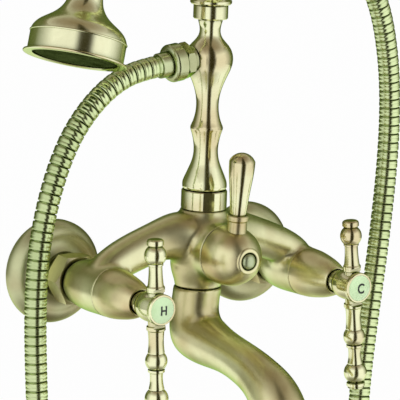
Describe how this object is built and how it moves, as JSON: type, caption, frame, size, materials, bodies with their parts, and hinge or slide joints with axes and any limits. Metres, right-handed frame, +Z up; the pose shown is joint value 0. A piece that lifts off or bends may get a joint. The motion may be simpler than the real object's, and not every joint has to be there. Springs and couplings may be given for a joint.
{
  "type": "shower mixer",
  "caption": "Wall-mounted bath and shower mixer with turned lever handles, a diverter lever, a swivel spout, and a hand shower in a cradle on a riser column, with its metal hose.",
  "frame": {"origin": "on the wall plane, mid-way between the axes of the two wall inlets", "axes": "+X to the cold side (the user's right), +Y into the wall along the inlets, +Z up"},
  "size_m": [0.2922, 0.1918, 0.692],
  "materials": {
    "antique_brass": "brushed, lacquered",
    "hose_metal": "brushed, ribbed",
    "porcelain": "glossy",
    "ceramic": "lapped",
    "seal_rubber": "matt",
    "inner_plastic": "moulded",
    "spray_plastic": "moulded",
    "screw_steel": "turned"
  },
  "bodies": {
    "mixer": {"body_casting": "antique_brass", "cold_bonnet": "antique_brass", "cold_cartridge_body": "antique_brass", "cold_rose": "antique_brass", "cold_union_nut": "antique_brass", "cold_wall_union": "antique_brass", "column_nut": "antique_brass", "column_seal": "seal_rubber", "cradle": "antique_brass", "cradle_liners": "inner_plastic", "cradle_nut": "antique_brass", "diverter_cartridge": "antique_brass", "diverter_seal": "seal_rubber", "fixed_discs": "ceramic", "hose": "hose_metal", "hose_outlet_ferrule": "antique_brass", "hose_outlet_fitting": "antique_brass", "hose_outlet_nut": "antique_brass", "hose_outlet_washer": "seal_rubber", "hot_bonnet": "antique_brass", "hot_cartridge_body": "antique_brass", "hot_rose": "antique_brass", "hot_union_nut": "antique_brass", "hot_wall_union": "antique_brass", "riser_column": "antique_brass", "seat_seals": "seal_rubber", "union_washers": "seal_rubber"},
    "hot_handle": {"hot_lever": "antique_brass", "hot_bezel": "antique_brass", "hot_button": "porcelain", "hot_handle_screw": "screw_steel", "hot_spindle": "antique_brass", "hot_moving_disc": "ceramic"},
    "cold_handle": {"cold_lever": "antique_brass", "cold_bezel": "antique_brass", "cold_button": "porcelain", "cold_handle_screw": "screw_steel", "cold_spindle": "antique_brass", "cold_moving_disc": "ceramic"},
    "diverter": {"diverter_knob": "antique_brass", "diverter_collar": "antique_brass", "diverter_grip": "antique_brass", "diverter_cap": "antique_brass", "diverter_screw": "screw_steel", "diverter_spindle": "antique_brass"},
    "spout": {"spout_tube": "antique_brass", "spout_o_rings": "seal_rubber", "aerator_housing": "antique_brass", "aerator_insert": "inner_plastic"},
    "handset": {"handset_bell": "antique_brass", "handset_rim": "antique_brass", "spray_plate": "spray_plastic", "spray_seal": "seal_rubber", "handset_elbow": "antique_brass", "handset_grip": "antique_brass", "handset_tail": "antique_brass", "hose_handset_washer": "seal_rubber", "hose_handset_nut": "antique_brass", "hose_handset_ferrule": "antique_brass"}
  },
  "joints": [
    {"name": "hot_valve", "type": "hinge", "parent": "mixer", "child": "hot_handle", "pos_m": [-0.075, -0.122, 0], "axis": [0, 1, 0], "range_deg": [0, 90]},
    {"name": "cold_valve", "type": "hinge", "parent": "mixer", "child": "cold_handle", "pos_m": [0.075, -0.122, 0], "axis": [0, 1, 0], "range_deg": [-90, 0]},
    {"name": "diverter_turn", "type": "hinge", "parent": "mixer", "child": "diverter", "pos_m": [0, -0.1, 0.0205], "axis": [0, 1, 0], "range_deg": [0, 90]},
    {"name": "spout_swivel", "type": "hinge", "parent": "mixer", "child": "spout", "pos_m": [0, -0.0575, -0.0057], "axis": [0, 0, 1], "range_deg": [-30, 30]},
    {"name": "handset_lift", "type": "slide", "parent": "mixer", "child": "handset", "axis": [0, 0, 1], "range_m": [0, 0.035], "deforming": ["hose"]}
  ]
}
